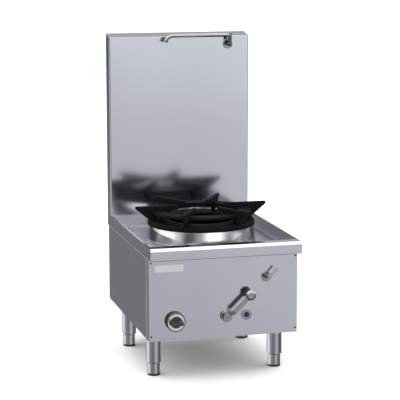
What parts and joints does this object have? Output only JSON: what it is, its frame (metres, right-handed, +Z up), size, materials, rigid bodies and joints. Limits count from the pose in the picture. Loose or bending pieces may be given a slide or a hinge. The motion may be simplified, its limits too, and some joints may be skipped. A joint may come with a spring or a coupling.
{
  "type": "waterless stock pot boiler",
  "caption": "Floor-standing gas stock pot boiler with cast trivet, recessed hob, splashback with swing spout, front lever, knob, push button and adjustable legs.",
  "frame": {"origin": "on the floor under the centre of the object's box", "axes": "+Z up, -Y towards the cook at the front, +X to the cook's right"},
  "size_m": [0.6, 0.8, 1.3],
  "materials": {
    "sheet_steel": "satin stainless sheet with a fine brushed grain",
    "frame_steel": "dull galvanised sheet",
    "bright_steel": "polished stainless steel",
    "chrome": "bright plated metal",
    "cast_iron": "black cast iron with a fine sand-cast grain",
    "screw_black": "blackened screws",
    "pad_rubber": "black rubber",
    "valve_brass": "cast and turned brass",
    "pipe_copper": "drawn copper pipe",
    "knob_black": "black moulded plastic",
    "button_blue": "glossy blue plastic",
    "electrode_white": "glazed white ceramic"
  },
  "bodies": {
    "cabinet": {"hob_top": "sheet_steel", "deck_pan": "sheet_steel", "front_panel": "sheet_steel", "left_side_panel": "sheet_steel", "right_side_panel": "sheet_steel", "back_panel": "sheet_steel", "base_pan": "frame_steel", "chassis_frame": "frame_steel", "splash_front": "sheet_steel", "splash_back": "sheet_steel", "panel_screws": "screw_black", "badge_plate": "bright_steel", "leg_front_left": "chrome", "leg_front_right": "chrome", "leg_rear_left": "chrome", "leg_rear_right": "chrome", "chimney_ring": "bright_steel", "chamber_liner": "bright_steel", "burner_head": "cast_iron", "burner_bracket": "frame_steel", "venturi_tube": "cast_iron", "injector": "valve_brass", "feed_pipe": "pipe_copper", "pilot_burner": "valve_brass", "pilot_tube": "pipe_copper", "thermocouple": "pipe_copper", "electrode": "electrode_white", "ignition_lead": "pad_rubber", "igniter_body": "knob_black", "button_bezel": "chrome", "gas_valve": "valve_brass", "flow_valve": "valve_brass", "link_pipe": "pipe_copper", "gas_pipe": "pipe_copper", "crank_washer": "chrome", "water_valve": "valve_brass", "tap_escutcheon": "chrome", "water_feed_pipe": "pipe_copper", "water_riser_pipe": "pipe_copper", "spout_flange": "chrome", "spout_elbow": "chrome"},
    "foot_front_left": {"foot_front_left": "chrome", "pad_front_left": "pad_rubber"},
    "foot_front_right": {"foot_front_right": "chrome", "pad_front_right": "pad_rubber"},
    "foot_rear_left": {"foot_rear_left": "chrome", "pad_rear_left": "pad_rubber"},
    "foot_rear_right": {"foot_rear_right": "chrome", "pad_rear_right": "pad_rubber"},
    "trivet_base": {"trivet_base": "cast_iron"},
    "pot_support": {"pot_support": "cast_iron"},
    "spout": {"spout_tube": "chrome"},
    "valve_spindle": {"valve_spindle": "bright_steel"},
    "gas_knob": {"knob": "knob_black", "knob_dial": "bright_steel"},
    "crank": {"crank_arm": "chrome", "crank_cap": "chrome"},
    "tap": {"tap_lever": "chrome"},
    "button": {"push_button": "button_blue"},
    "air_shutter": {"air_shutter": "frame_steel"}
  },
  "joints": [
    {"name": "foot_front_left_screw", "type": "slide", "parent": "cabinet", "child": "foot_front_left", "axis": [0, 0, -1], "range_m": [0, 0.03]},
    {"name": "foot_front_right_screw", "type": "slide", "parent": "cabinet", "child": "foot_front_right", "axis": [0, 0, -1], "range_m": [0, 0.03]},
    {"name": "foot_rear_left_screw", "type": "slide", "parent": "cabinet", "child": "foot_rear_left", "axis": [0, 0, -1], "range_m": [0, 0.03]},
    {"name": "foot_rear_right_screw", "type": "slide", "parent": "cabinet", "child": "foot_rear_right", "axis": [0, 0, -1], "range_m": [0, 0.03]},
    {"name": "trivet_lift", "type": "slide", "parent": "cabinet", "child": "trivet_base", "axis": [0, 0, 1], "range_m": [0, 0.12]},
    {"name": "pot_support_lift", "type": "slide", "parent": "trivet_base", "child": "pot_support", "axis": [0, 0, 1], "range_m": [0, 0.15]},
    {"name": "spout_swing", "type": "hinge", "parent": "cabinet", "child": "spout", "pos_m": [0.208, 0.296, 1.29], "axis": [0, 0, 1], "range_deg": [0, 180]},
    {"name": "gas_knob_push", "type": "slide", "parent": "cabinet", "child": "valve_spindle", "axis": [0, 1, 0], "range_m": [0, 0.004], "stiffness_N_per_m": 500},
    {"name": "gas_knob_turn", "type": "hinge", "parent": "valve_spindle", "child": "gas_knob", "pos_m": [-0.1945, -0.37, 0.2445], "axis": [0, -1, 0], "range_deg": [0, 200]},
    {"name": "crank_turn", "type": "hinge", "parent": "cabinet", "child": "crank", "pos_m": [0.009, -0.37, 0.253], "axis": [0, -1, 0], "range_deg": [0, 90]},
    {"name": "tap_turn", "type": "hinge", "parent": "cabinet", "child": "tap", "pos_m": [0.17, -0.37, 0.4], "axis": [0, -1, 0], "range_deg": [0, 90]},
    {"name": "button_press", "type": "slide", "parent": "cabinet", "child": "button", "axis": [0, 1, 0], "range_m": [0, 0.005], "stiffness_N_per_m": 300},
    {"name": "air_shutter_turn", "type": "hinge", "parent": "cabinet", "child": "air_shutter", "pos_m": [0, -0.209, 0.4], "axis": [0, 1, 0], "range_deg": [0, 60]}
  ]
}
